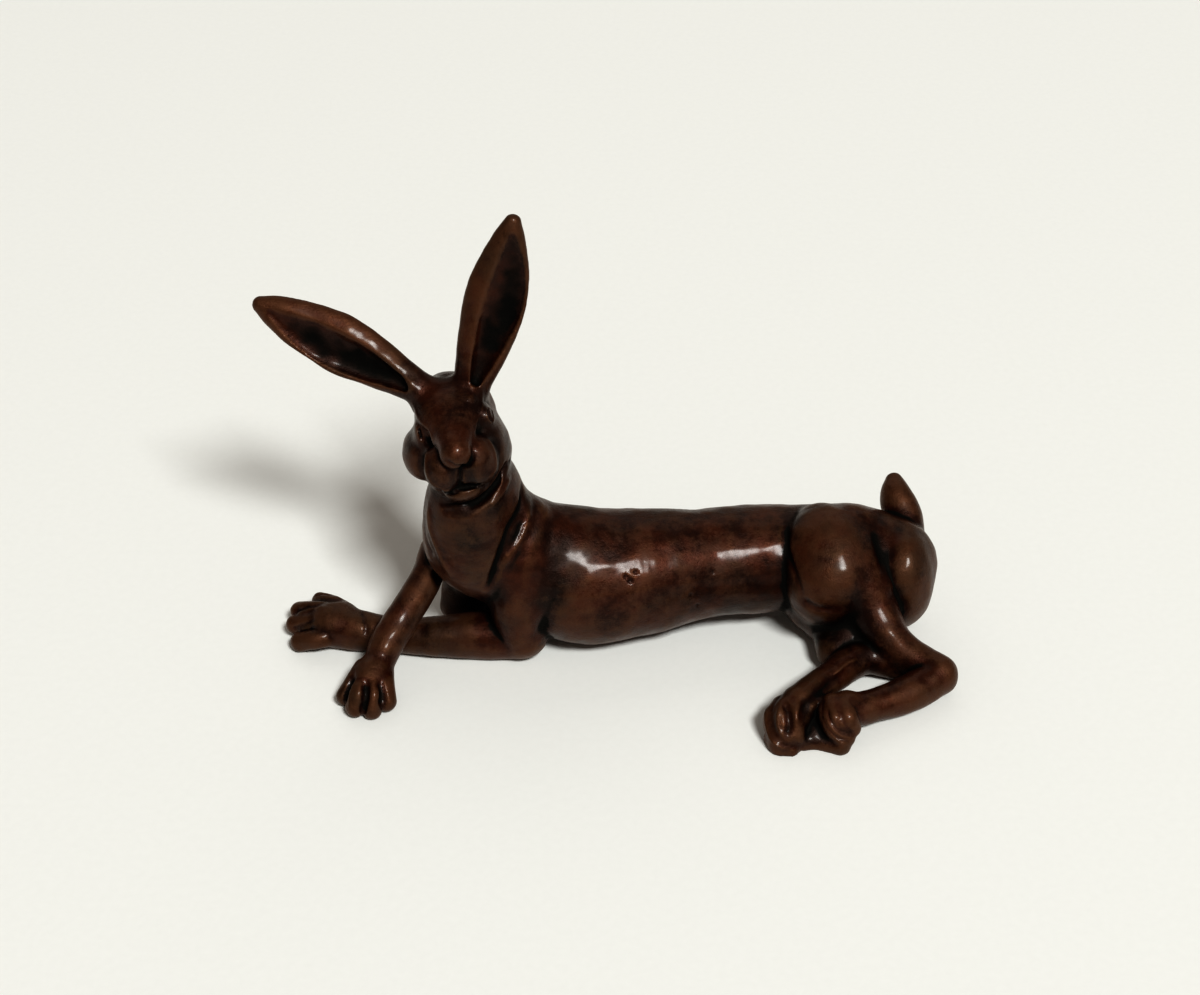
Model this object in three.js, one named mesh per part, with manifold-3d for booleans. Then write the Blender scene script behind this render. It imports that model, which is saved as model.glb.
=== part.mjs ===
// A hare lying at rest with its head turned to one side and its ears up: one solid bronze casting.
// Millimetres. The ground is z = 0, the hare lies along x with its head at -x, and it faces -y.
import * as THREE from "three";
import { mergeVertices } from "three/addons/utils/BufferGeometryUtils.js";
import Module from "manifold-3d";

// Sizes that may be changed, in millimetres
const LENGTH = 93; // tip of the right ear to the hock
const BODY_DEPTH = 18.4; // through the ribs
const NECK_THICKNESS = 13;
const HEAD_HEIGHT = 17.5; // chin to crown
const EAR_LENGTH = 23; // root to tip
const EAR_WIDTH = 7.9;
const EAR_THICKNESS = 3.4;
const EAR_HOLLOW = 1.7; // how deep the ears are scooped
const FOREARM_THICKNESS = 6.2;
const TOE_THICKNESS = 3;
const SHANK_THICKNESS = 5.2; // the hind legs below the thigh
const TAIL_THICKNESS = 5.2;
const FILED_OFF = 0.3; // taken off the underside to make it stand flat

// How the surface is meshed
const CELL = LENGTH / 133; // fine enough for the toes and the rims of the ears
const TRIANGLES = 9400;
const STEPS = 4; // straight steps between two stations of a limb
const FAR = 60;

// The pose is given in hundredths of the length
const share = LENGTH / 100;
const girth = BODY_DEPTH / 18.4;
const neckGirth = NECK_THICKNESS / 13;
const foreGirth = FOREARM_THICKNESS / 6.2;
const shankGirth = SHANK_THICKNESS / 5.2;
const tailGirth = TAIL_THICKNESS / 5.2;
const toeRadius = TOE_THICKNESS / 2;

// The head's own directions: to its left, forwards and up
const LEFT = new THREE.Vector3(0.978, 0.054, 0.201);
const FORWARD = new THREE.Vector3(0, -0.966, 0.259);
const UP = new THREE.Vector3(-0.208, 0.253, 0.945);
const HEAD = new THREE.Vector3(-22.3, 4.6, 37.7).multiplyScalar(share);

// Points on the figure

// A station in hundredths of the length: x, y, z, radius
function at([x, y, z, radius], thicker = 1) {
  return [x * share, y * share, z * share, radius * share * thicker];
}

// A point on the head in twentieths of its height from the middle: to its left, forwards, up
function onHead(left, forward, up) {
  const unit = HEAD_HEIGHT / 20;
  return HEAD.clone()
    .addScaledVector(LEFT, left * unit)
    .addScaledVector(FORWARD, forward * unit)
    .addScaledVector(UP, up * unit);
}

// Forms that are blended together

// The smooth line through the stations, with their radii and thicknesses
function smoothLine(stations) {
  const spots = stations.map(([x, y, z]) => new THREE.Vector3(x, y, z));
  const sizes = stations.map(([, , , radius, thickness = radius]) => new THREE.Vector3(radius, thickness, 0));
  const line = new THREE.CatmullRomCurve3(spots, false, "catmullrom", 0.5);
  const size = new THREE.CatmullRomCurve3(sizes, false, "catmullrom", 0.5);
  const count = (stations.length - 1) * STEPS;
  return Array.from({ length: count + 1 }, (_, i) => {
    const { x: radius, y: thickness } = size.getPoint(i / count);
    return { spot: line.getPoint(i / count), radius, thickness };
  });
}

// The distance outside an ellipsoid of radii a, b and c, near its surface
function outsideEllipsoid(x, y, z, a, b, c) {
  const k0 = Math.hypot(x / a, y / b, z / c);
  const k1 = Math.hypot(x / (a * a), y / (b * b), z / (c * c));
  return k0 < 1e-6 ? -Math.min(a, b, c) : (k0 * (k0 - 1)) / k1;
}

// A tube along the smooth line; with a side direction its section is an ellipse, widest that way
function limb(stations, side) {
  const marks = smoothLine(stations);
  const box = new THREE.Box3();
  for (const { spot, radius, thickness } of marks) {
    const reach = Math.max(radius, thickness);
    box.expandByPoint(spot.clone().addScalar(reach)).expandByPoint(spot.clone().addScalar(-reach));
  }
  const spans = marks.slice(1).map((end, i) => spanBetween(marks[i], end, side));
  return { box, reach: (p) => spans.reduce((best, span) => Math.min(best, span(p)), FAR) };
}

function spanBetween(start, end, side) {
  const along = end.spot.clone().sub(start.spot);
  const square = along.lengthSq();
  const ahead = along.clone().normalize();
  const across = side ? side.clone().addScaledVector(ahead, -side.dot(ahead)).normalize() : null;
  const through = side ? ahead.clone().cross(across) : null;
  const gap = new THREE.Vector3();
  return (p) => {
    gap.copy(p).sub(start.spot);
    const t = THREE.MathUtils.clamp(gap.dot(along) / square, 0, 1);
    gap.addScaledVector(along, -t);
    const a = start.radius + (end.radius - start.radius) * t;
    if (!side) return gap.length() - a;
    const b = start.thickness + (end.thickness - start.thickness) * t;
    return outsideEllipsoid(gap.dot(across), gap.dot(through), gap.dot(ahead), a, b, Math.min(a, b));
  };
}

// An ellipsoid whose radii lie along the given directions
function egg(centre, radii, axes) {
  const reach = new THREE.Vector3();
  axes.forEach((axis, i) => {
    const r = radii[i];
    reach.add(new THREE.Vector3((axis.x * r) ** 2, (axis.y * r) ** 2, (axis.z * r) ** 2));
  });
  reach.set(Math.sqrt(reach.x), Math.sqrt(reach.y), Math.sqrt(reach.z));
  const gap = new THREE.Vector3();
  return {
    box: new THREE.Box3(centre.clone().sub(reach), centre.clone().add(reach)),
    reach: (p) => {
      gap.copy(p).sub(centre);
      return outsideEllipsoid(gap.dot(axes[0]), gap.dot(axes[1]), gap.dot(axes[2]), ...radii);
    },
  };
}

// The sculpture: forms joined or cut in order, each with a rounded joint of its own width
const steps = [];

function join(form, blend) {
  steps.push({ ...form, blend, sign: 1 });
}

function cut(form, blend) {
  steps.push({ ...form, blend, sign: -1 });
}

function surface(p) {
  let d = FAR;
  for (const { box, reach, blend, sign } of steps) {
    if (box.distanceToPoint(p) > blend + 2 * CELL) continue;
    const f = sign * reach(p);
    const h = Math.max(blend - Math.abs(f - d), 0) / blend;
    d = (sign > 0 ? Math.min(f, d) : Math.max(f, d)) - sign * h * h * blend * 0.25;
  }
  return d;
}

// Body, neck and breast
function trunk() {
  const back = [
    [41.5, 9.8, 10, 6.9], [35.7, 10.7, 10.1, 8], [28.2, 11.1, 10, 7.9], [21.4, 10.8, 9.9, 8.1],
    [13.1, 9.5, 10.1, 8.2], [4.1, 7.7, 9.9, 9.4], [-3.7, 6.5, 9.9, 9.9], [-9.3, 6, 11.8, 9],
    [-15.1, 5.4, 15.3, 7.1],
  ];
  join(limb(back.map((s) => at(s, girth))), 0.01);
  const neck = [
    [-18.1, 5.7, 14.5, 6.3], [-20.2, 3.6, 19, 7.1], [-20.5, 2.5, 25.9, 6.5], [-20.2, 2.6, 30.7, 5.6],
    [-20.7, 1.8, 34.5, 5.4],
  ];
  join(limb(neck.map((s) => at(s, neckGirth))), 2.6);
  const withers = [
    [-16.9, 5.3, 29.1, 2.8], [-14.7, 5.9, 22.8, 3.9], [-10.7, 6.4, 18, 4.8], [-3.4, 7.6, 14.5, 4.9],
  ];
  join(limb(withers.map((s) => at(s, girth))), 3);
}

function breast() {
  const keel = [[-20.8, 5, 19.9, 4.7], [-21.1, 6.2, 14.6, 4.3], [-20.7, 7.1, 10.5, 2.9]];
  join(limb(keel.map((s) => at(s, girth))), 1);
}

// The head, in twentieths of its height: where each swelling sits and how far it reaches
function swelling([left, forward, up], [wide, long, high], blend) {
  const unit = HEAD_HEIGHT / 20;
  const radii = [wide * unit, long * unit, high * unit];
  join(egg(onHead(left, forward, up), radii, [LEFT, FORWARD, UP]), blend);
}

function head() {
  const unit = HEAD_HEIGHT / 20;
  swelling([0.3, -2.3, 0.9], [6.2, 7.5, 7.5], 2);
  swelling([-5.1, 0.2, -2.2], [3.3, 4.8, 4.1], 0.9); // right cheek
  swelling([4.6, 0.2, -3], [3.4, 5, 4.8], 0.9); // left cheek
  swelling([0.2, 1.7, -5], [5.2, 5.5, 3.9], 0.7); // jaw
  swelling([0.6, 4.8, -2.7], [5.2, 5.2, 4.5], 0.4); // muzzle
  const bridge = [
    [0.3, 0.2, 5.3, 5.6, 3], [0.5, 3.4, 3.9, 4.8, 2.7], [0.8, 6.9, 1.8, 3.1, 2.5], [0.9, 10.1, 0.5, 2.2, 2],
  ];
  const line = bridge.map(([left, forward, up, wide, thick]) => {
    return [...onHead(left, forward, up).toArray(), wide * unit, thick * unit];
  });
  join(limb(line, LEFT), 0.35);
  for (const [slope, eye] of [[[-3.4, 2.2, -0.2], [-4.5, 3.3, 2]], [[4.4, 2.2, 0.2], [5.9, 3.3, 2.7]]]) {
    swelling(slope, [2.3, 3, 2.6], 1); // from the brow down to the cheek
    swelling(eye, [0.95, 1.9, 1.6], 0.35);
  }
  swelling([-1.95, 7.2, -2.8], [2.75, 3.4, 3.5], 0.4); // right lip pad
  swelling([3.2, 6.9, -2.5], [2.7, 3.4, 3.9], 0.4); // left lip pad
  swelling([0.9, 10.5, -0.1], [2.1, 1.8, 1.7], 0.5); // nose
  swelling([0.2, 5.9, -6.7], [3.1, 3.4, 1.7], 0.3); // lower lip
}

// An ear from its root: a long leaf, bowed a little and scooped deepest beside its inner rim
function ear(root, direction, side, bow, wide) {
  const start = new THREE.Vector3(...root).multiplyScalar(share);
  const along = new THREE.Vector3(...direction).normalize();
  const facing = new THREE.Vector3(0, -0.906, 0.423);
  const out = along.clone().cross(facing).normalize();
  out.multiplyScalar(Math.sign(out.dot(LEFT)) * side);
  const front = out.clone().cross(along).normalize();
  front.multiplyScalar(Math.sign(front.dot(facing)));
  const middle = (t) => start.clone()
    .addScaledVector(along, EAR_LENGTH * t)
    .addScaledVector(out, bow * 4 * t * (1 - t));
  const width = (EAR_WIDTH / 2) * wide;
  const thickness = EAR_THICKNESS / 2;
  // Along the ear, then the half width and half thickness as shares of the fullest
  const leaf = [
    [-0.08, 0.58, 1.24], [0.02, 0.61, 1.18], [0.12, 0.7, 1.12], [0.27, 0.86, 1.06], [0.45, 1, 1],
    [0.6, 0.97, 0.94], [0.75, 0.81, 0.88], [0.9, 0.51, 0.76], [0.985, 0.28, 0.59],
  ];
  join(limb(leaf.map(([t, w, b]) => [...middle(t).toArray(), w * width, b * thickness]), out), 1);
  const scoop = [
    [0.06, 0.18, 0.5], [0.18, 0.36, 0.83], [0.33, 0.56, 1], [0.5, 0.7, 1], [0.66, 0.63, 0.89],
    [0.8, 0.43, 0.67], [0.91, 0.15, 0.44],
  ];
  const hollow = scoop.map(([t, w, b]) => {
    const centre = middle(t)
      .addScaledVector(front, thickness)
      .addScaledVector(out, 0.25 + 0.25 * w * width);
    return [...centre.toArray(), w * width, b * EAR_HOLLOW];
  });
  cut(limb(hollow, out.clone().addScaledVector(front, -0.42).normalize()), 0.35);
}

// Toes: each a short bent finger through three points
function toes(rows, blend) {
  for (const points of rows) join(limb(points.map((p) => [...at(p).slice(0, 3), toeRadius * 0.95])), blend);
}

// The left foreleg lies along the ground and the right one crosses over it
function leftForeleg() {
  const upper = [
    [-11.6, 4.9, 21.9, 2.4], [-12.6, 2.7, 19.8, 3.1], [-13.2, 1.9, 17.2, 3.9], [-13.6, 1.4, 13.8, 4.4],
    [-13.6, 1, 10.3, 4.6], [-13.5, 0.6, 7, 4.2], [-13.2, 0.2, 4.2, 3.7],
  ];
  join(limb(upper.map((s) => at(s, foreGirth))), 0.9);
  const forearm = [
    [-13.8, 0.6, 3.4, 3.5], [-18.8, 0.9, 3.3, 3.6], [-24.9, 0.9, 3.1, 3.2], [-31.7, 1.4, 2.9, 2.7],
    [-37.4, 2.4, 2.9, 3], [-41.7, 3.6, 3, 3.4],
  ];
  join(limb(forearm.map((s) => at(s, foreGirth))), 0.4);
  join(limb([[-40.6, 4.4, 3, 3.1], [-45.4, 4.7, 2.5, 2.1]].map((s) => at(s, foreGirth))), 0.6);
  toes([
    [[-40.5, 6.3, 3.8], [-42.2, 7.3, 4], [-44.1, 9.2, 3]],
    [[-41.5, 5.1, 4.3], [-44.2, 5.6, 4.1], [-47.1, 7.3, 2.8]],
    [[-41.7, 3.5, 3.6], [-44.4, 3.4, 3.5], [-47.3, 4.6, 2.3]],
    [[-41.3, 1.6, 2.6], [-43.8, 0.7, 2.7], [-46.5, 1.2, 1.7]],
  ], 0.25);
}

// The metal left between the two elbows, under the breast
function elbowWeb() {
  join(limb([[-21, 8.5, 3, 2.2], [-18, 7.5, 3.4, 2.8], [-15, 5.5, 4, 3]].map((s) => at(s))), 1);
}

function rightForeleg() {
  const shoulder = [[-13, 11.5, 16, 4.5], [-18, 10.5, 14, 4.4], [-22.5, 6.5, 14.8, 4]];
  join(limb(shoulder.map((s) => at(s, girth))), 1.5);
  const elbow = [[-20.5, 8.6, 11.3, 4.2], [-22.5, 8.9, 5.8, 3.2], [-24, 8.7, 2.5, 2.1]];
  join(limb(elbow.map((s) => at(s, foreGirth))), 1.5);
  const forearm = [
    [-25.6, 5, 15.6, 2.6], [-27.4, 2.7, 12.4, 2.4], [-30.2, -0.6, 8.9, 2.4], [-32.8, -4.1, 6.4, 2.6],
    [-33.9, -6.3, 4.7, 2.4], [-35.1, -9.2, 3.4, 2.7],
  ];
  join(limb(forearm.map((s) => at(s, foreGirth))), 0.6);
  join(limb([[-34.9, -8.2, 3.2, 3], [-35.5, -11.4, 2.5, 2.2]].map((s) => at(s, foreGirth))), 0.6);
  toes([
    [[-36.3, -7.1, 3.9], [-37.3, -9.5, 3.4], [-38.6, -10.7, 1.8]],
    [[-35.6, -9.5, 4.1], [-36.2, -11.9, 3.5], [-36.9, -13, 1.8]],
    [[-34.4, -9.7, 4.1], [-34.4, -12.2, 3.4], [-34.6, -13.4, 1.6]],
    [[-33.3, -7.3, 3.6], [-32.9, -10.2, 3.3], [-32.5, -12, 1.8]],
  ], 0.25);
}

// Thigh and rump; the hips are rolled so that both hind legs come out to the same side
function hips() {
  const thigh = [
    [30.9, 10, 15.3, 4.6], [31.6, 7.6, 13.8, 6.6], [32.1, 4.8, 11.8, 6.9], [31.1, 3.7, 9.5, 5.2],
  ];
  join(limb(thigh.map((s) => at(s, girth))), 0.5);
  const behind = [[34.8, 10.8, 14.6, 4.5], [35.2, 7, 12.7, 5], [36.9, 2.9, 10.3, 4.2]];
  join(limb(behind.map((s) => at(s, girth))), 1.2);
  const axes = [new THREE.Vector3(1, 0, 0), new THREE.Vector3(0, 1, 0), new THREE.Vector3(0, 0, 1)];
  const rump = [5, 6.5, 8.1].map((r) => r * share * girth);
  join(egg(new THREE.Vector3(42.8, 7.6, 8.8).multiplyScalar(share), rump, axes), 0.5);
}

function leftHindLeg() {
  const shin = [
    [35, 4.5, 11.8, 4.9], [38, 0.9, 8.3, 3.9], [40.8, -3.2, 5.5, 3.1], [44.6, -5.9, 4, 2.7],
    [47, -7.7, 3.2, 2.9],
  ];
  join(limb(shin.map((s) => at(s, shankGirth))), 0.8);
  const shank = [[47, -8, 3.1, 2.8], [43.2, -11, 2.9, 2.7], [38.3, -13.6, 2.9, 2.5], [34.1, -15.7, 3.4, 2.4]];
  join(limb(shank.map((s) => at(s, shankGirth))), 0.5);
  const foot = [[33.1, -15.3, 3.9, 2.4], [32, -16.9, 3.4, 2.8], [31.6, -18.4, 2.1, 2.4]];
  join(limb(foot.map((s) => at(s))), 0.6);
  toes([
    [[32.5, -15.6, 4.9], [32.9, -18.3, 4.7], [33.5, -18.7, 3]],
    [[31.1, -15.6, 4.9], [31.2, -18.7, 4.3], [32.7, -19.6, 2]],
    [[30.2, -15.5, 4.1], [30.3, -18.5, 3], [32, -20.3, 1.4]],
  ], 0.2);
}

function rightHindLeg() {
  const thigh = [[35.2, 6.3, 7.5, 6.5], [34.7, 2.6, 5.2, 4.7], [35.1, -0.6, 3.6, 3.5]];
  join(limb(thigh.map((s) => at(s, girth))), 1);
  const flank = [[30, 6.1, 5.9, 4.7], [32.3, 2.4, 3.7, 3.2], [32.8, -2.4, 3, 2.7]];
  join(limb(flank.map((s) => at(s))), 1);
  const shank = [
    [41.6, -4.3, 3, 2.8], [37.2, -4.2, 3.4, 2.5], [34, -6.4, 3.6, 2.5], [29.9, -10.8, 3.9, 2.4],
    [26.5, -14.9, 4.3, 2.5],
  ];
  join(limb(shank.map((s) => at(s, shankGirth))), 0.5);
  const foot = [[26.3, -14.8, 3.6, 2.6], [24.9, -17.1, 3.2, 2.9], [24.5, -18.8, 2.1, 2.6]];
  join(limb(foot.map((s) => at(s))), 0.6);
  toes([
    [[26.6, -15.2, 4.9], [25.4, -18.1, 4.5], [25.7, -19.7, 2.3]],
    [[25.2, -15.2, 4.7], [23.9, -17.9, 4.3], [24.4, -20, 2]],
    [[24, -15.1, 3.9], [22.7, -17.5, 3.2], [23.2, -20.3, 1.6]],
  ], 0.2);
}

// The metal left between the hind feet and under their soles
function webs() {
  const between = [[24.8, -19.6, 0.9, 1.5], [28.7, -19, 0.9, 1.6], [31.9, -20.1, 0.9, 1.5]];
  const bridge = [[28, -14.2, 1.7, 2.2], [28.6, -17.9, 1.3, 1.9]];
  const sole = [[22.6, -18.8, 0.9, 1.3], [23.3, -20.6, 0.7, 1.2], [25, -20.8, 0.7, 1.2]];
  for (const line of [between, bridge, sole]) join(limb(line.map((s) => at(s))), 0.5);
}

// Folds cut into the metal
function creases() {
  const belowJaw = [
    [-15, 0.6, 34.6, 0.5], [-15.9, -1, 32.9, 0.8], [-18.4, -3.2, 31, 1], [-20.8, -3.9, 29.8, 0.9],
    [-23.4, -3, 29.2, 0.5],
  ];
  const beforeShoulder = [
    [-12.7, 4.6, 28.6, 0.4], [-12.8, 1.9, 26.3, 0.7], [-14.4, -1.4, 24.4, 0.8], [-16.2, -3, 20.3, 0.8],
    [-18.1, -3, 15.1, 0.5],
  ];
  const underBreast = [
    [-25, 1.2, 14.8, 1.3], [-23.7, 1.6, 13, 1.9], [-21.4, 3, 10.9, 1.6], [-18.8, 3.4, 9.2, 1.2],
  ];
  for (const fold of [belowJaw, beforeShoulder, underBreast]) cut(limb(fold.map((s) => at(s))), 0.5);
}

function tail() {
  const line = [
    [44.1, 13.2, 11.6, 2.8], [43.9, 16.5, 13.5, 2.9], [43, 18.6, 15.5, 2.5], [42.7, 20.8, 16.9, 1.3],
  ];
  join(limb(line.map((s) => at(s, tailGirth))), 0.5);
}

// From the blended forms to a closed mesh

// Samples the forms on a grid of cells that holds them all
function sampleGrid() {
  const box = new THREE.Box3();
  for (const { box: part, sign } of steps) if (sign > 0) box.union(part);
  box.expandByScalar(2 * CELL);
  const span = box.getSize(new THREE.Vector3());
  const size = [span.x, span.y, span.z].map((d) => Math.ceil(d / CELL) + 1);
  const stride = [size[1] * size[2], size[2], 1];
  const values = new Float64Array(size[0] * size[1] * size[2]);
  const p = new THREE.Vector3();
  for (let i = 0, n = 0; i < size[0]; i++) {
    for (let j = 0; j < size[1]; j++) {
      for (let k = 0; k < size[2]; k++, n++) {
        p.set(box.min.x + i * CELL, box.min.y + j * CELL, box.min.z + k * CELL);
        values[n] = surface(p);
      }
    }
  }
  return { origin: box.min, size, stride, values };
}

// The corners of a cell are numbered in binary: 1 is one step along x, 2 along y and 4 along z
const CORNERS = [0, 1, 2, 3, 4, 5, 6, 7];
const FACES = [1, 2, 4].flatMap((axis) => {
  return [0, axis].map((side) => CORNERS.filter((c) => (c & axis) === side));
});

function cornerOffset(c, stride) {
  return (c & 1 ? stride[0] : 0) + (c & 2 ? stride[1] : 0) + (c & 4 ? stride[2] : 0);
}

// Whether solid and empty corners of a cell meet only across a face or across the cell
function isPinched(mask) {
  const solid = (c) => (mask >> c) & 1;
  const acrossFace = FACES.some(([a, b, c, d]) => {
    return solid(a) === solid(d) && solid(b) === solid(c) && solid(a) !== solid(b);
  });
  const acrossCell = CORNERS.some((c) => {
    const pair = (1 << c) | (1 << (7 - c));
    return mask === pair || mask === 255 - pair;
  });
  return acrossFace || acrossCell;
}

// Fills the emptier corners of pinched cells until there are none, so that the skin never touches itself
function fillPinches({ stride, values }) {
  const pinched = Array.from({ length: 256 }, (_, mask) => isPinched(mask));
  const offsets = CORNERS.map((c) => cornerOffset(c, stride));
  const cells = values.length - offsets[7];
  for (let changed = true; changed;) {
    changed = false;
    for (let n = 0; n < cells; n++) {
      let mask = 0;
      for (let c = 0; c < 8; c++) if (values[n + offsets[c]] < 0) mask |= 1 << c;
      if (!pinched[mask]) continue;
      const empty = offsets.map((step) => n + step).filter((m) => values[m] >= 0);
      empty.sort((a, b) => values[a] - values[b]);
      values[empty[0]] = -0.01 * CELL;
      changed = true;
    }
  }
}

// One point in each cell that the surface crosses, and a face for each grid edge that it crosses
function wrap({ origin, size, stride, values }) {
  const points = [];
  const index = new Map();
  const edges = CORNERS.flatMap((c) => {
    return [0, 1, 2].filter((axis) => !(c & (1 << axis))).map((axis) => [c, axis]);
  });
  const pointIn = (n) => {
    if (index.has(n)) return index.get(n);
    const sum = new THREE.Vector3();
    let count = 0;
    for (const [c, axis] of edges) {
      const corner = n + cornerOffset(c, stride);
      const [a, b] = [values[corner], values[corner + stride[axis]]];
      if (a < 0 === b < 0) continue;
      const crossing = new THREE.Vector3(c & 1, (c >> 1) & 1, (c >> 2) & 1);
      sum.add(crossing.setComponent(axis, a / (a - b)));
      count++;
    }
    const cell = [Math.floor(n / stride[0]), Math.floor(n / stride[1]) % size[1], n % size[2]];
    sum.divideScalar(count).add(new THREE.Vector3(...cell));
    points.push(sum.multiplyScalar(CELL).add(origin));
    index.set(n, points.length - 1);
    return points.length - 1;
  };
  const faces = [];
  for (let n = 0; n < values.length; n++) {
    for (let axis = 0; axis < 3; axis++) {
      const next = n + stride[axis];
      if (next >= values.length || values[n] < 0 === values[next] < 0) continue;
      const u = stride[(axis + 1) % 3];
      const v = stride[(axis + 2) % 3];
      const ring = [n, n - u, n - u - v, n - v].map(pointIn);
      if (values[n] >= 0) ring.reverse();
      faces.push([ring[0], ring[1], ring[2]], [ring[0], ring[2], ring[3]]);
    }
  }
  return { points, faces };
}

// Moves each point onto the surface, by no more than half a cell
function settle(points) {
  const step = 0.05;
  const slope = new THREE.Vector3();
  const side = (p, axis) => {
    const q = p.clone();
    q[axis] += step;
    const ahead = surface(q);
    q[axis] -= 2 * step;
    return (ahead - surface(q)) / (2 * step);
  };
  for (const p of points) {
    slope.set(side(p, "x"), side(p, "y"), side(p, "z"));
    const steepness = slope.lengthSq();
    if (steepness < 0.05) continue;
    slope.multiplyScalar(-surface(p) / steepness).clampLength(0, CELL / 2);
    p.add(slope);
  }
}

// Fewer triangles where the surface is plain

// The planes round a point, as the ten numbers of their summed squares
function planesRound(points, faces) {
  const sums = points.map(() => new Float64Array(10));
  const plane = new THREE.Plane();
  for (const face of faces) {
    const [a, b, c] = face.map((i) => points[i]);
    plane.setFromCoplanarPoints(a, b, c);
    const area = new THREE.Triangle(a, b, c).getArea();
    const { x, y, z } = plane.normal;
    const w = plane.constant;
    const terms = [x * x, x * y, x * z, x * w, y * y, y * z, y * w, z * z, z * w, w * w];
    for (const i of face) terms.forEach((term, k) => { sums[i][k] += term * area; });
  }
  return sums;
}

// The spot nearest to all the planes of both ends of an edge, and how far it strays
function bestSpot(points, planes, a, b) {
  const q = planes[a].map((value, k) => value + planes[b][k]);
  const middle = points[a].clone().add(points[b]).multiplyScalar(0.5);
  const length = points[a].distanceTo(points[b]);
  const matrix = new THREE.Matrix3().set(q[0], q[1], q[2], q[1], q[4], q[5], q[2], q[5], q[7]);
  const scale = (q[0] + q[4] + q[7]) / 3;
  let spot = middle;
  if (Math.abs(matrix.determinant()) > 1e-3 * scale ** 3) {
    const solved = new THREE.Vector3(-q[3], -q[6], -q[8]).applyMatrix3(matrix.invert());
    if (solved.distanceTo(middle) < length) spot = solved;
  }
  const { x, y, z } = spot;
  const stray = q[0] * x * x + q[4] * y * y + q[7] * z * z + q[9]
    + 2 * (q[1] * x * y + q[2] * x * z + q[5] * y * z + q[3] * x + q[6] * y + q[8] * z);
  return { a, b, spot, cost: Math.max(stray, 0) + 2e-4 * length ** 4 };
}

// Whether a face keeps its direction and a fair shape when one of its points moves
function staysFair(points, face, moved, spot) {
  const before = new THREE.Triangle(...face.map((i) => points[i]));
  const after = new THREE.Triangle(...face.map((i) => (moved.includes(i) ? spot : points[i])));
  const area = after.getArea();
  const round = after.a.distanceToSquared(after.b) + after.b.distanceToSquared(after.c)
    + after.c.distanceToSquared(after.a);
  if (area < 0.03 * round) return false;
  return before.getNormal(new THREE.Vector3()).dot(after.getNormal(new THREE.Vector3())) > 0.5;
}

// Closes up edges, cheapest first, in passes that touch no neighbourhood twice
function thin({ points, faces }, limit) {
  for (let pass = 0; pass < 40 && faces.length > limit; pass++) {
    const planes = planesRound(points, faces);
    const around = points.map(() => []);
    const ring = points.map(() => new Set());
    faces.forEach((face) => face.forEach((i, k) => {
      around[i].push(face);
      ring[i].add(face[(k + 1) % 3]).add(face[(k + 2) % 3]);
    }));
    const edges = [];
    ring.forEach((near, a) => near.forEach((b) => {
      if (a < b) edges.push(bestSpot(points, planes, a, b));
    }));
    edges.sort((one, other) => one.cost - other.cost);
    const touched = new Set();
    const gone = new Set();
    for (const { a, b, spot } of edges.slice(0, edges.length * 0.3)) {
      if (faces.length - gone.size <= limit) break;
      if (touched.has(a) || touched.has(b)) continue;
      const shared = [...ring[a]].filter((i) => ring[b].has(i));
      if (shared.length !== 2) continue;
      const both = around[a].filter((face) => face.includes(b));
      const rest = [...around[a], ...around[b]].filter((face) => !both.includes(face));
      if (!rest.every((face) => staysFair(points, face, [a, b], spot))) continue;
      both.forEach((face) => gone.add(face));
      for (const face of around[b]) face[face.indexOf(b)] = a;
      points[a].copy(spot);
      for (const i of [a, b, ...ring[a], ...ring[b]]) touched.add(i);
    }
    faces = faces.filter((face) => !gone.has(face));
  }
  return { points, faces };
}

// Drops the points that no face uses
function pack({ points, faces }) {
  const used = new Map();
  for (const i of faces.flat()) if (!used.has(i)) used.set(i, used.size);
  const positions = new Float32Array(used.size * 3);
  for (const [i, n] of used) points[i].toArray(positions, n * 3);
  return { positions, triangles: Uint32Array.from(faces.flat(), (i) => used.get(i)) };
}

const wasm = await Module();
wasm.setup();

function solidOf(positions, triangles) {
  return new wasm.Manifold(new wasm.Mesh({ numProp: 3, vertProperties: positions, triVerts: triangles }));
}

function solidFrom(geometry) {
  geometry.deleteAttribute("normal");
  geometry.deleteAttribute("uv");
  const merged = mergeVertices(geometry);
  return solidOf(Float32Array.from(merged.attributes.position.array), Uint32Array.from(merged.index.array));
}

function geometryOf(solid) {
  const mesh = solid.getMesh();
  const geometry = new THREE.BufferGeometry();
  geometry.setAttribute("position", new THREE.BufferAttribute(Float32Array.from(mesh.vertProperties), 3));
  geometry.setIndex(new THREE.BufferAttribute(Uint32Array.from(mesh.triVerts), 1));
  geometry.computeVertexNormals();
  return geometry;
}

function buildHare() {
  trunk();
  head();
  ear([-27.4, 6.5, 43.9], [-0.884, 0.227, 0.41], -1, -0.4, 0.97);
  ear([-19.8, 6.5, 44.2], [0.256, 0.226, 0.94], 1, 0.3, 1);
  breast();
  leftForeleg();
  elbowWeb();
  rightForeleg();
  hips();
  leftHindLeg();
  rightHindLeg();
  webs();
  tail();
  creases();
  const grid = sampleGrid();
  fillPinches(grid);
  const skin = wrap(grid);
  settle(skin.points);
  const { positions, triangles } = pack(thin(skin, TRIANGLES));
  const below = new THREE.BoxGeometry(2 * LENGTH, 2 * LENGTH, LENGTH).translate(0, 0, FILED_OFF - LENGTH / 2);
  const geometry = geometryOf(solidOf(positions, triangles).subtract(solidFrom(below)));
  geometry.computeBoundingBox();
  const middle = geometry.boundingBox.getCenter(new THREE.Vector3());
  return geometry.translate(-middle.x, -middle.y, -FILED_OFF);
}

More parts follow.
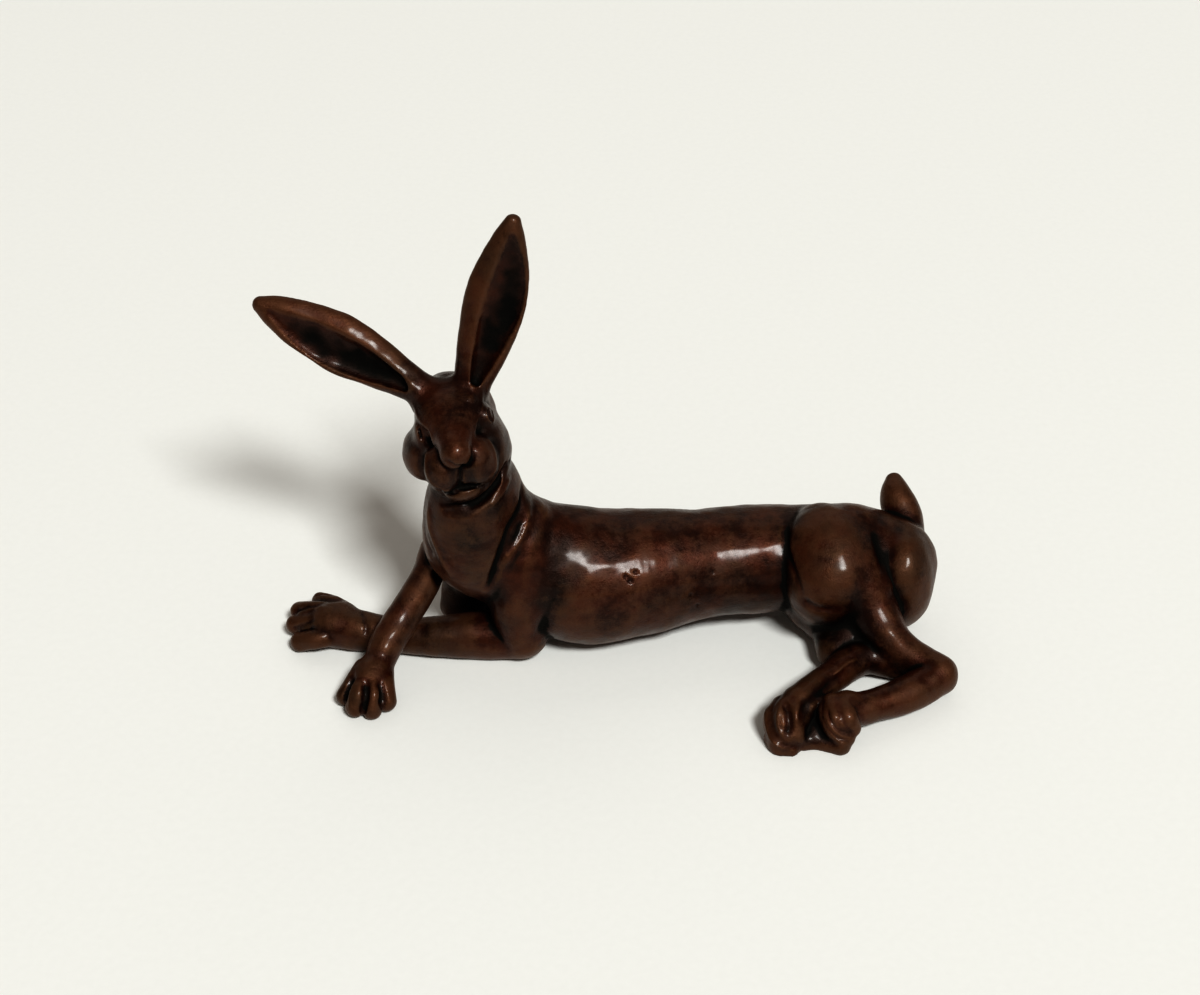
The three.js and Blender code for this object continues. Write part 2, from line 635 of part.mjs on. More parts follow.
const bronze = new THREE.MeshStandardMaterial({ color: 0x4a2a1a, roughness: 0.36, metalness: 0.9 });
const hare = new THREE.Mesh(buildHare(), bronze);
hare.name = "hare";

const sculpture = new THREE.Group();
sculpture.name = "hare_sculpture";
sculpture.add(hare);

export default sculpture;
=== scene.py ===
import math
import bpy
import numpy as np
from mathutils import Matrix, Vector
from mathutils.bvhtree import BVHTree


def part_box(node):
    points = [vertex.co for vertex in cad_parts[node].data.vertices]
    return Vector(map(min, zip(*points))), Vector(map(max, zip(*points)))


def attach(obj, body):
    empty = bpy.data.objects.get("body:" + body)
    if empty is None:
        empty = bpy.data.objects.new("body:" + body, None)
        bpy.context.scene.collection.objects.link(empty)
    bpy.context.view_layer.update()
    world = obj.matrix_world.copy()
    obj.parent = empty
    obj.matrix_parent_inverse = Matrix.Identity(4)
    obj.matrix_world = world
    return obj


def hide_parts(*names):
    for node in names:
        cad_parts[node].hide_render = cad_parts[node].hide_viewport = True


# A small bronze hare lying at rest, head turned to its left, ears up, forelegs crossed.
# It is modelled in millimetres in the frame's axes and scaled to metres when its mesh is made.

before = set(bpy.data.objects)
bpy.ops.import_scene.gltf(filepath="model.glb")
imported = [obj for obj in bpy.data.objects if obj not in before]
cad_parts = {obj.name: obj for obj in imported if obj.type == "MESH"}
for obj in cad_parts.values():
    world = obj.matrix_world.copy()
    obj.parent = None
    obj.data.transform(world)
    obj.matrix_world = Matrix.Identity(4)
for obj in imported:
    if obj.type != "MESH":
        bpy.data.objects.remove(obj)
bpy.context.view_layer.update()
per_metre = 1000  # millimetres
cad_low, cad_high = (np.array(corner) * per_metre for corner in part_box("hare"))

# Sizes, as shares of the hare's length

length = cad_high[0] - cad_low[0]
share = length / 100
head_height = 18.8 * share
head_unit = head_height / 20
ear_length = 24.7 * share
ear_width = 8.5 * share
ear_thickness = 3.65 * share
ear_hollow = 1.85 * share
toe_radius = 1.53 * share
filed_off = 0.32 * share

# How fine the mesh is

cell = 0.29
steps_per_span = 9
block = 4  # cells along each side of a block of the grid
face_reach = 11.5  # the mesh is twice as fine within this distance of the face's middle
triangle_limit = 190000
far = 60.0  # stands for any distance too large to matter

# Camera

eye_height = math.radians(37)
eye_distance = 300.0
aim = np.array([-1.75, 7.25, 21.7])
forward = np.array([0, math.cos(eye_height), -math.sin(eye_height)])
upward = np.array([0, math.sin(eye_height), math.cos(eye_height)])
sideways = np.array([1.0, 0, 0])
eye = aim - eye_distance * forward
picture = (1200, 995)
focal_pixels = 2222.0
sensor_width = 36


def make_camera():
    data = bpy.data.cameras.new("camera")
    data.sensor_width = sensor_width
    data.lens = sensor_width * focal_pixels / picture[0]
    data.clip_start = 0.01
    camera = bpy.data.objects.new("camera", data)
    camera.location = eye / per_metre
    camera.rotation_euler = Vector(forward).to_track_quat("-Z", "Y").to_euler()
    bpy.context.collection.objects.link(camera)
    bpy.context.scene.camera = camera


def sight_line(u, v):
    """The direction from the eye through a point of the picture."""
    line = forward * focal_pixels + sideways * (u - picture[0] / 2) - upward * (v - picture[1] / 2)
    return line / np.linalg.norm(line)


# Forms and how they blend

def unit(direction):
    direction = np.asarray(direction, float)
    return direction / np.linalg.norm(direction)


def smooth_line(rows, steps):
    """A smooth line through the rows, with that many straight steps to each span."""
    rows = np.asarray(rows, float)
    ends = np.vstack([2 * rows[0] - rows[1], rows, 2 * rows[-1] - rows[-2]])
    line = []
    for p0, p1, p2, p3 in zip(ends, ends[1:], ends[2:], ends[3:]):
        for t in np.arange(steps) / steps:
            line.append(0.5 * (2 * p1 + (p2 - p0) * t + (2 * p0 - 5 * p1 + 4 * p2 - p3) * t * t
                               + (3 * p1 - p0 - 3 * p2 + p3) * t ** 3))
    return np.array(line + [rows[-1]])


def outside_ellipsoid(x, y, z, a, b, c):
    """About how far a point lies outside an ellipsoid of radii a, b and c."""
    size = np.sqrt((x / a) ** 2 + (y / b) ** 2 + (z / c) ** 2)
    slope = np.sqrt((x / a ** 2) ** 2 + (y / b ** 2) ** 2 + (z / c ** 2) ** 2) + 1e-9
    return np.where(size < 1e-6, -np.minimum(np.minimum(a, b), c), size * (size - 1) / slope)


class Limb:
    """A tube along a smooth line; with a side direction its section is an ellipse, widest that way."""

    def __init__(self, stations, side=None):
        rows = [list(s) + ([s[3]] if len(s) == 4 else []) for s in stations]
        self.marks = smooth_line(rows, steps_per_span)
        self.side = None if side is None else unit(side)
        reach = self.marks[:, 3:5].max(1, keepdims=True)
        self.low = (self.marks[:, :3] - reach).min(0)
        self.high = (self.marks[:, :3] + reach).max(0)

    def outside(self, points, margin):
        """How far points lie outside the tube, worked out only for those within the margin."""
        best = np.full(len(points), far, np.float32)
        for start, end in zip(self.marks[:-1], self.marks[1:]):
            room = max(start[3:].max(), end[3:].max()) + margin
            low = np.minimum(start[:3], end[:3]) - room
            high = np.maximum(start[:3], end[:3]) + room
            near = np.nonzero(((points > low) & (points < high)).all(1))[0]
            if len(near):
                best[near] = np.minimum(best[near], self.span(points[near], start, end))
        return best

    def span(self, points, start, end):
        gap = points - start[:3]
        along = end[:3] - start[:3]
        t = np.clip(gap @ along / (along @ along), 0, 1)
        gap = gap - t[:, None] * along
        a = start[3] + (end[3] - start[3]) * t
        if self.side is None:
            return np.sqrt((gap * gap).sum(1)) - a
        b = start[4] + (end[4] - start[4]) * t
        ahead = unit(along)
        across = unit(self.side - (self.side @ ahead) * ahead)
        through = np.cross(ahead, across)
        return outside_ellipsoid(gap @ across, gap @ through, gap @ ahead, a, b, np.minimum(a, b))


class Egg:
    """An ellipsoid whose radii lie along three directions."""

    def __init__(self, centre, radii, axes):
        self.centre = np.asarray(centre, float)
        self.radii = np.asarray(radii, float)
        self.axes = np.array([unit(axis) for axis in axes])
        size = np.sqrt(((self.axes * self.radii[:, None]) ** 2).sum(0))
        self.low, self.high = self.centre - size, self.centre + size

    def outside(self, points, margin):
        x, y, z = ((points - self.centre) @ self.axes.T).T
        return outside_ellipsoid(x, y, z, *self.radii)


class Ground:
    """Everything below the filed underside."""
    low = np.array([-200.0, -200, -200])
    high = np.array([200.0, 200, filed_off])

    def outside(self, points, margin):
        return points[:, 2] - filed_off


# The forms in the order in which they are joined to the sculpture, or cut from it
sculpture = []
least_blend = 0.01


def join(form, blend):
    sculpture.append((1, form, max(blend, least_blend)))


def cut(form, blend):
    sculpture.append((-1, form, max(blend, least_blend)))


def surface(points, margin):
    """How far points lie outside the sculpture, right within the margin of its skin."""
    points = np.asarray(points, np.float32)
    depth = np.full(len(points), far, np.float32)
    for sign, form, blend in sculpture:
        room = blend + margin
        near = np.nonzero(((points > form.low - room) & (points < form.high + room)).all(1))[0]
        if not len(near):
            continue
        new = sign * form.outside(points[near], room)
        old = depth[near]
        overlap = np.maximum(blend - np.abs(new - old), 0) / blend
        nearer = np.minimum if sign > 0 else np.maximum
        depth[near] = nearer(new, old) - sign * overlap * overlap * blend * 0.25
    return depth


# The figure, in hundredths of its length: x, y, z, radius

def at(rows):
    return [[value * share for value in row] for row in rows]


def trunk():
    join(Limb(at([
        [41.5, 9.8, 10, 6.9], [35.7, 10.7, 10.1, 8], [28.2, 11.1, 10, 7.9], [21.4, 10.8, 9.9, 8.1],
        [13.1, 9.5, 10.1, 8.2], [4.1, 7.7, 9.9, 9.4], [-3.7, 6.5, 9.9, 9.9], [-9.3, 6, 11.8, 9],
        [-15.1, 5.4, 15.3, 7.1]])), 0)
    join(Limb(at([
        [-18.1, 5.7, 14.5, 6.3], [-20.2, 3.6, 19, 7.1], [-20.5, 2.5, 25.9, 6.5], [-20.2, 2.6, 30.7, 5.6],
        [-20.7, 1.8, 34.5, 5.4]])), 2.6)
    join(Limb(at([[-16.9, 5.3, 29.1, 2.8], [-14.7, 5.9, 22.8, 3.9], [-10.7, 6.4, 18, 4.8],
                  [-3.4, 7.6, 14.5, 4.9]])), 3)


def breast():
    join(Limb(at([[-20.8, 5, 19.9, 4.7], [-21.1, 6.2, 14.6, 4.3], [-20.7, 7.1, 10.5, 2.9]])), 1)


# The head's own directions, and its forms in twentieths of its height from its middle
head_left = np.array([0.978, 0.054, 0.201])
head_forward = np.array([0, -0.966, 0.259])
head_up = np.array([-0.208, 0.253, 0.945])
head_middle = np.array([-22.3, 4.6, 37.7]) * share
head_axes = (head_left, head_forward, head_up)


def on_head(left, ahead, up):
    return head_middle + (left * head_left + ahead * head_forward + up * head_up) * head_unit


def swelling(place, radii, blend):
    join(Egg(on_head(*place), np.array(radii) * head_unit, head_axes), blend)


def on_head_line(rows):
    return [[*on_head(*row[:3]), *(size * head_unit for size in row[3:])] for row in rows]


def head():
    swelling([0.3, -2.3, 0.9], [6.2, 7.5, 7.5], 2)
    swelling([-5.1, 0.2, -2.2], [3.3, 4.8, 4.1], 0.9)
    swelling([4.6, 0.2, -3], [3.4, 5, 4.8], 0.9)
    swelling([0.2, 1.7, -5], [5.2, 5.5, 3.9], 0.7)
    swelling([0.6, 4.8, -2.7], [5.2, 5.2, 4.5], 0.4)
    join(Limb(on_head_line([
        [0.3, 0.2, 5.3, 5.6, 3], [0.5, 3.4, 3.9, 4.8, 2.7], [0.8, 6.9, 1.8, 3.1, 2.5],
        [0.9, 10.1, 0.5, 2.2, 2]]), head_left), 0.35)
    eyes()
    swelling([-1.95, 7.2, -2.8], [2.75, 3.4, 3.5], 0.4)
    swelling([3.2, 6.9, -2.5], [2.7, 3.4, 3.9], 0.4)
    swelling([0.9, 10.5, -0.1], [2.1, 1.8, 1.7], 0.5)
    swelling([0.2, 5.9, -6.7], [3.1, 3.4, 1.7], 0.3)


def eyes():
    """Each eye is a low ball on the slope that falls from the brow to the cheek."""
    right = ([-3.4, 2.2, -0.2], [-4.5, 3.3, 2])
    left = ([4.4, 2.2, 0.2], [5.6, 3.0, 2.5])
    for slope, ball in (right, left):
        swelling(slope, [2.3, 3, 2.8], 1.6)
        swelling(ball, [0.9, 1.9, 1.7], 0.9)


def ear(root, direction, side, bow, wide):
    """A long leaf, bowed a little and scooped deepest beside its inner rim."""
    start = np.array(root) * share
    along = unit(direction)
    facing = np.array([0, -0.906, 0.423])
    out = unit(np.cross(along, facing))
    out *= np.sign(out @ head_left) * side
    front = np.cross(out, along)
    front *= np.sign(front @ facing)
    half_width, half_thickness = ear_width / 2 * wide, ear_thickness / 2

    def middle(t):
        return start + along * ear_length * t + out * bow * 4 * t * (1 - t)

    leaf = [
        [-0.08, 0.58, 1.24], [0.02, 0.61, 1.18], [0.12, 0.7, 1.12], [0.27, 0.86, 1.06], [0.45, 1, 1],
        [0.6, 0.97, 0.94], [0.75, 0.81, 0.88], [0.9, 0.51, 0.76], [0.985, 0.28, 0.59]]
    join(Limb([[*middle(t), w * half_width, b * half_thickness] for t, w, b in leaf], out), 1)
    scoop = [
        [0.06, 0.18, 0.5], [0.18, 0.38, 0.83], [0.33, 0.6, 1], [0.5, 0.75, 1], [0.66, 0.67, 0.89],
        [0.8, 0.46, 0.67], [0.91, 0.15, 0.44]]
    hollow = []
    for t, w, b in scoop:
        centre = middle(t) + front * half_thickness + out * (0.25 + 0.25 * w * half_width)
        hollow.append([*centre, w * half_width, b * ear_hollow])
    cut(Limb(hollow, out - 0.42 * front), 0.35)


def toes(rows, blend):
    for points in rows:
        join(Limb([[*p, toe_radius * 0.95] for p in at(points)]), blend)


def left_foreleg():
    join(Limb(at([
        [-11.6, 4.9, 21.9, 2.4], [-12.6, 2.7, 19.8, 3.1], [-13.2, 1.9, 17.2, 3.9], [-13.6, 1.4, 13.8, 4.4],
        [-13.6, 1, 10.3, 4.6], [-13.5, 0.6, 7, 4.2], [-13.2, 0.2, 4.2, 3.7]])), 0.9)
    join(Limb(at([
        [-13.8, 0.6, 3.4, 3.5], [-18.8, 0.9, 3.3, 3.6], [-24.9, 0.9, 3.1, 3.2], [-31.7, 1.4, 2.9, 2.7],
        [-37.4, 2.4, 2.9, 3], [-41.7, 3.6, 3, 3.4]])), 0.4)
    join(Limb(at([[-40.6, 4.4, 3, 3.1], [-45.4, 4.7, 2.5, 2.1]])), 0.6)
    toes([
        [[-40.5, 6.3, 3.8], [-42.2, 7.3, 4], [-44.1, 9.2, 3]],
        [[-41.5, 5.1, 4.3], [-44.2, 5.6, 4.1], [-47.1, 7.3, 2.8]],
        [[-41.7, 3.5, 3.6], [-44.4, 3.4, 3.5], [-47.3, 4.6, 2.3]],
        [[-41.3, 1.6, 2.6], [-43.8, 0.7, 2.7], [-46.5, 1.2, 1.7]]], 0.25)


def elbow_web():
    """The metal left between the right elbow and the left one, under the breast."""
    join(Limb(at([[-21, 8.5, 3, 2.2], [-18, 7.5, 3.4, 2.8], [-15, 5.5, 4, 3]])), 1)


def right_foreleg():
    join(Limb(at([[-13, 11.5, 16, 4.5], [-18, 10.5, 14, 4.4], [-22.5, 6.5, 14.8, 4]])), 1.5)
    join(Limb(at([[-20.5, 8.6, 11.3, 4.2], [-22.5, 8.9, 5.8, 3.2], [-24, 8.7, 2.5, 2.1]])), 1.5)
    join(Limb(at([
        [-25.6, 5, 15.6, 2.6], [-27.4, 2.7, 12.4, 2.4], [-30.2, -0.6, 8.9, 2.4], [-32.8, -4.1, 6.4, 2.6],
        [-33.9, -6.3, 4.7, 2.4], [-35.1, -9.2, 3.4, 2.7]])), 0.6)
    join(Limb(at([[-34.9, -8.2, 3.2, 3], [-35.5, -11.4, 2.5, 2.2]])), 0.6)
    toes([
        [[-36.3, -7.1, 3.9], [-37.3, -9.5, 3.4], [-38.6, -10.7, 1.8]],
        [[-35.6, -9.5, 4.1], [-36.2, -11.9, 3.5], [-36.9, -13, 1.8]],
        [[-34.4, -9.7, 4.1], [-34.4, -12.2, 3.4], [-34.6, -13.4, 1.6]],
        [[-33.3, -7.3, 3.6], [-32.9, -10.2, 3.3], [-32.5, -12, 1.8]]], 0.25)


def hips():
    join(Limb(at([
        [30.9, 10, 15.3, 4.6], [31.6, 7.6, 13.8, 6.6], [32.1, 4.8, 11.8, 6.9],
        [31.1, 3.7, 9.5, 5.2]])), 0.5)
    join(Limb(at([[34.8, 10.8, 14.6, 4.5], [35.2, 7, 12.7, 5], [36.9, 2.9, 10.3, 4.2]])), 1.2)
    join(Egg(np.array([42.8, 7.6, 8.8]) * share, np.array([5, 6.5, 8.1]) * share, np.eye(3)), 0.5)


def left_hind_leg():
    join(Limb(at([
        [35, 4.5, 11.8, 4.9], [38, 0.9, 8.3, 3.9], [40.8, -3.2, 5.5, 3.1], [44.6, -5.9, 4, 2.7],
        [47, -7.7, 3.2, 2.9]])), 0.8)
    join(Limb(at([
        [47, -8, 3.1, 2.8], [43.2, -11, 2.9, 2.7], [38.3, -13.6, 2.9, 2.5],
        [34.1, -15.7, 3.4, 2.4]])), 0.5)
    join(Limb(at([[33.1, -15.3, 3.9, 2.4], [32, -16.9, 3.4, 2.8], [31.6, -18.4, 2.1, 2.4]])), 0.6)
    toes([
        [[32.5, -15.6, 4.9], [32.9, -18.3, 4.7], [33.5, -18.7, 3]],
        [[31.1, -15.6, 4.9], [31.2, -18.7, 4.3], [32.7, -19.6, 2]],
        [[30.2, -15.5, 4.1], [30.3, -18.5, 3], [32, -20.3, 1.4]]], 0.2)


def right_hind_leg():
    join(Limb(at([[35.2, 6.3, 7.5, 6.5], [34.7, 2.6, 5.2, 4.7], [35.1, -0.6, 3.6, 3.5]])), 1)
    join(Limb(at([[30, 6.1, 5.9, 4.7], [32.3, 2.4, 3.7, 3.2], [32.8, -2.4, 3, 2.7]])), 1)
    join(Limb(at([
        [41.6, -4.3, 3, 2.8], [37.2, -4.2, 3.4, 2.5], [34, -6.4, 3.6, 2.5], [29.9, -10.8, 3.9, 2.4],
        [26.5, -14.9, 4.3, 2.5]])), 0.5)
    join(Limb(at([[26.3, -14.8, 3.6, 2.6], [24.9, -17.1, 3.2, 2.9], [24.5, -18.8, 2.1, 2.6]])), 0.6)
    toes([
        [[26.6, -15.2, 4.9], [25.4, -18.1, 4.5], [25.7, -19.7, 2.3]],
        [[25.2, -15.2, 4.7], [23.9, -17.9, 4.3], [24.4, -20, 2]],
        [[24, -15.1, 3.9], [22.7, -17.5, 3.2], [23.2, -20.3, 1.6]]], 0.2)


def webs():
    """The metal left between the hind feet and under their soles."""
    for line in (
            [[24.8, -19.6, 0.9, 1.5], [28.7, -19, 0.9, 1.6], [31.9, -20.1, 0.9, 1.5]],
            [[28, -14.2, 1.7, 2.2], [28.6, -17.9, 1.3, 1.9]],
            [[22.6, -18.8, 0.9, 1.3], [23.3, -20.6, 0.7, 1.2], [25, -20.8, 0.7, 1.2]]):
        join(Limb(at(line)), 0.5)


def creases():
    """Folds cut into the metal."""
    below_jaw = [
        [-15, 0.6, 34.6, 0.5], [-15.9, -1, 32.9, 0.8], [-18.4, -3.2, 31, 1], [-20.8, -3.9, 29.8, 0.9],
        [-23.4, -3, 29.2, 0.5]]
    before_shoulder = [
        [-12.7, 4.6, 28.6, 0.4], [-12.8, 1.9, 26.3, 0.7], [-14.4, -1.4, 24.4, 0.8], [-16.2, -3, 20.3, 0.8],
        [-18.1, -3, 15.1, 0.5]]
    under_breast = [
        [-25, 1.2, 14.8, 1.3], [-23.7, 1.6, 13, 1.9], [-21.4, 3, 10.9, 1.6], [-18.8, 3.4, 9.2, 1.2]]
    for line in (below_jaw, before_shoulder, under_breast):
        cut(Limb(at(line)), 0.5)


def tail():
    join(Limb(at([
        [44.1, 13.2, 11.6, 2.8], [43.9, 16.5, 13.5, 2.9], [43, 18.6, 15.5, 2.5],
        [42.7, 20.8, 16.9, 1.3]])), 0.5)


# From the forms to a closed mesh

corners = [(x, y, z) for x in (0, 1) for y in (0, 1) for z in (0, 1)]


def sample_grid():
    """The sculpture on a grid, worked out only in the blocks that its skin passes through."""
    low = np.min([form.low for sign, form, _ in sculpture if sign > 0], 0) - 2 * cell
    high = np.max([form.high for sign, form, _ in sculpture if sign > 0], 0) + 2 * cell
    big = cell * block
    count = np.ceil((high - low) / big).astype(int) + 1
    lines = [low[i] + big * np.arange(count[i] + 1) for i in range(3)]
    coarse = np.stack(np.meshgrid(*lines, indexing="ij"), -1).reshape(-1, 3)
    coarse = surface(coarse, 2.2 * big).reshape([len(line) for line in lines])
    near = np.abs(coarse) < 1.9 * big
    busy = np.zeros(count, bool)
    for x, y, z in corners:
        busy |= near[x:x + count[0], y:y + count[1], z:z + count[2]]
    spread = np.ones((block,) * 3, bool)
    inside = np.kron(coarse[:-1, :-1, :-1] < 0, spread)
    values = np.full(count * block + 1, far, np.float32)
    values[:-1, :-1, :-1][inside] = -far
    cells = np.kron(busy, spread)
    fine = np.zeros(values.shape, bool)
    sx, sy, sz = cells.shape
    for x, y, z in corners:
        fine[x:x + sx, y:y + sy, z:z + sz] |= cells
    spots = np.argwhere(fine)
    values[fine] = surface(low + spots * cell, 3 * cell)
    return values, low


def is_pinched(mask):
    """Whether solid and empty corners of a cell meet only across a face or across the cell."""
    solid = np.array([(mask >> i) & 1 for i in range(8)]).reshape(2, 2, 2)
    for axis in range(3):
        for face in np.moveaxis(solid, axis, 0):
            if face[0, 0] == face[1, 1] != face[0, 1] == face[1, 0]:
                return True
    pairs = [(1 << i) | (1 << (7 - i)) for i in range(8)]
    return mask in pairs or 255 - mask in pairs


def corner_slices(shape):
    return [tuple(slice(o, o + n - 1) for o, n in zip(corner, shape)) for corner in corners]


def fill_pinches(values):
    """Fills the emptier corners of pinched cells, so that the skin never touches itself."""
    pinched = np.array([is_pinched(mask) for mask in range(256)])
    views = corner_slices(values.shape)
    for _ in range(12):
        mask = np.zeros([n - 1 for n in values.shape], np.uint8)
        for i, view in enumerate(views):
            mask |= (values[view] < 0).astype(np.uint8) << i
        spots = np.argwhere(pinched[mask])
        if not len(spots):
            return
        around = np.stack([values[tuple((spots + corner).T)] for corner in corners], 1)
        around[around < 0] = np.inf
        chosen = spots + np.array(corners)[around.argmin(1)]
        values[tuple(chosen.T)] = -0.01 * cell


def wrap(values, low):
    """One point in each cell that the skin crosses, and a four-sided face for each edge it crosses."""
    inside = values < 0
    shape = [n - 1 for n in values.shape]
    count = np.zeros(shape, np.uint8)
    for view in corner_slices(values.shape):
        count += inside[view]
    cells = np.argwhere((count > 0) & (count < 8))
    number = np.full(shape, -1, np.int32)
    number[tuple(cells.T)] = np.arange(len(cells))
    total, crossings = np.zeros((len(cells), 3)), np.zeros(len(cells))
    for corner in corners:
        for axis in range(3):
            if corner[axis]:
                continue
            a = values[tuple((cells + corner).T)]
            b = values[tuple((cells + corner + np.eye(3, dtype=int)[axis]).T)]
            crossed = (a < 0) != (b < 0)
            t = np.where(crossed, a / np.where(crossed, a - b, 1), 0)
            total += (np.array(corner, float) + t[:, None] * np.eye(3)[axis]) * crossed[:, None]
            crossings += crossed
    points = low + (cells + total / crossings[:, None]) * cell
    faces = []
    for axis in range(3):
        u, v = (axis + 1) % 3, (axis + 2) % 3
        first = np.take(inside, range(values.shape[axis] - 1), axis)
        edges = np.argwhere(first != np.take(inside, range(1, values.shape[axis]), axis))
        ring = []
        for du, dv in ((0, 0), (-1, 0), (-1, -1), (0, -1)):
            around = edges.copy()
            around[:, u] += du
            around[:, v] += dv
            ring.append(number[tuple(around.T)])
        ring = np.stack(ring, 1)
        empty_first = ~inside[tuple(edges.T)]
        ring[empty_first] = ring[empty_first][:, ::-1]
        faces.append(ring)
    return points, np.vstack(faces)


def slope_at(points):
    """The direction in which the distance to the skin grows."""
    step = 0.05
    sides = [surface(points + step * axis, 1) - surface(points - step * axis, 1) for axis in np.eye(3)]
    return np.stack(sides, 1) / (2 * step)


def settle(points):
    """Moves each point onto the skin, by no more than half a cell."""
    slope = slope_at(points)
    move = -(surface(points, 1) / ((slope * slope).sum(1) + 1e-6))[:, None] * slope
    size = np.linalg.norm(move, axis=1, keepdims=True)
    return points + move * np.minimum(1, 0.5 * cell / np.maximum(size, 1e-9))


def as_triangles(faces):
    """Two triangles for each four-sided face."""
    return np.vstack([faces[:, [0, 1, 2]], faces[:, [0, 2, 3]]])


def halve_edges(points, faces, chosen):
    """Splits each triangle edge whose two ends are both chosen, so that the mesh is finer there."""
    ends = np.sort(faces[:, [[0, 1], [1, 2], [2, 0]]], 2)
    split = chosen[ends].all(2)
    pairs, number = np.unique(ends[split], axis=0, return_inverse=True)
    halfway = np.full(split.shape, -1)
    halfway[split] = len(points) + number.ravel()
    points = np.vstack([points, points[pairs].mean(1)])
    all_three = split.all(1)
    a, b, c = faces[all_three].T
    ab, bc, ca = halfway[all_three].T
    made = [faces[~split.any(1)]]
    quarters = ((a, ab, ca), (ab, b, bc), (ca, bc, c), (ab, bc, ca))
    made += [np.stack(part, 1) for part in quarters]
    for side in range(3):
        one = split[:, side] & ~all_three
        a, b, c = (faces[one, (side + i) % 3] for i in range(3))
        ab = halfway[one, side]
        made += [np.stack(part, 1) for part in ((a, ab, c), (ab, b, c))]
    return points, np.vstack(made)


def round_face(points):
    """Whether each point is near enough to the face to be carved finely."""
    return np.linalg.norm(points - on_head(0.8, 3, 0.5), axis=1) < face_reach


def point_normals(points, faces):
    """The average direction that the faces round each point look in."""
    a, b, c = (points[faces[:, i]] for i in range(3))
    flat = np.cross(b - a, c - a)
    total = np.zeros_like(points)
    for i in range(3):
        for axis in range(3):
            total[:, axis] += np.bincount(faces[:, i], flat[:, axis], len(points))
    return total / (np.linalg.norm(total, axis=1, keepdims=True) + 1e-12)


def neighbour_mean(points, edges):
    """The average of each point's neighbours."""
    count = np.bincount(edges.ravel(), minlength=len(points))
    total = np.zeros_like(points)
    for axis in range(points.shape[1]):
        total[:, axis] = (np.bincount(edges[:, 0], points[edges[:, 1], axis], len(points))
                          + np.bincount(edges[:, 1], points[edges[:, 0], axis], len(points)))
    return total / count[:, None]


# Carving on the skin

wave_count = 28
wave_share = 0.27


class Skin:
    """The mesh being carved, with a way to find the point of it that a sight line meets."""

    def __init__(self, points, faces):
        self.points, self.faces = points, faces
        self.normals = point_normals(points, faces)
        self.moves = np.zeros(len(points))
        self.tree = BVHTree.FromPolygons([Vector(p) for p in points], faces.tolist())

    def seen_at(self, u, v):
        place, normal, _, _ = self.tree.ray_cast(Vector(eye), Vector(sight_line(u, v)))
        return None if place is None else (np.array(place), np.array(normal))

    def line_seen(self, spots, spacing):
        """The stretch of skin under a smooth line of picture points, at even spacing."""
        hits = [self.seen_at(u, v) for u, v in smooth_line(spots, 10)]
        hits = [np.hstack(hit) for hit in hits if hit is not None]
        rows = [hits[0]]
        for hit in hits[1:]:
            count = max(1, math.ceil(np.linalg.norm(hit[:3] - rows[-1][:3]) / spacing))
            rows += list(rows[-1] + (hit - rows[-1]) * np.arange(1, count + 1)[:, None] / count)
        rows = np.array(rows)
        return rows[:, :3], rows[:, 3:]

    def stroke(self, spots, wide, high):
        """Raises the skin along a line, or cuts it where high is below nought. Open ends taper."""
        line, facing = self.line_seen(spots, 0.3 * wide)
        closed = spots[0] == spots[-1]
        low, top = line.min(0) - 3 * wide, line.max(0) + 3 * wide
        near = np.nonzero(((self.points > low) & (self.points < top)).all(1))[0]
        gap = np.linalg.norm(self.points[near, None] - line[None], axis=2)
        closest = gap.argmin(1)
        nearest = gap.min(1)
        t = closest / (len(line) - 1)
        taper = 1 if closed else np.clip(np.minimum(t, 1 - t) * 5 + 0.35, 0, 1)
        alike = np.clip((self.normals[near] * facing[closest]).sum(1) * 2 + 0.4, 0, 1)
        self.moves[near] += high * taper * alike * np.exp(-(nearest / wide) ** 2)

    def pit(self, u, v, radius, deep):
        """A round hole with steep sides, like those that gas leaves in a casting."""
        middle, _ = self.seen_at(u, v)
        gap = np.linalg.norm(self.points - middle, axis=1)
        self.moves -= deep * np.exp(-(gap / radius) ** 3)

    def ripple(self, wavelength, height, seed):
        """The unevenness that fingers and tools leave: many slow waves in all directions."""
        rng = np.random.default_rng(seed)
        for _ in range(wave_count):
            wave = unit(rng.normal(size=3)) * 2 * math.pi / (wavelength * rng.uniform(0.7, 1.5))
            self.moves += height * wave_share * np.sin(self.points @ wave + rng.uniform(0, 2 * math.pi))

    def apply(self):
        """Moves the points by what the strokes have gathered."""
        self.points = self.points + self.moves[:, None] * self.normals
        self.normals = point_normals(self.points, self.faces)
        self.moves[:] = 0


def almond(u, v, wide, tall, lean):
    """A closed ring of picture points that leans to the right at the top by that many pixels."""
    turns = [math.pi * i / 6 for i in range(12)]
    ring = [(u + wide / 2 * math.sin(t) + lean * math.cos(t), v - tall / 2 * math.cos(t)) for t in turns]
    return ring + ring[:1]


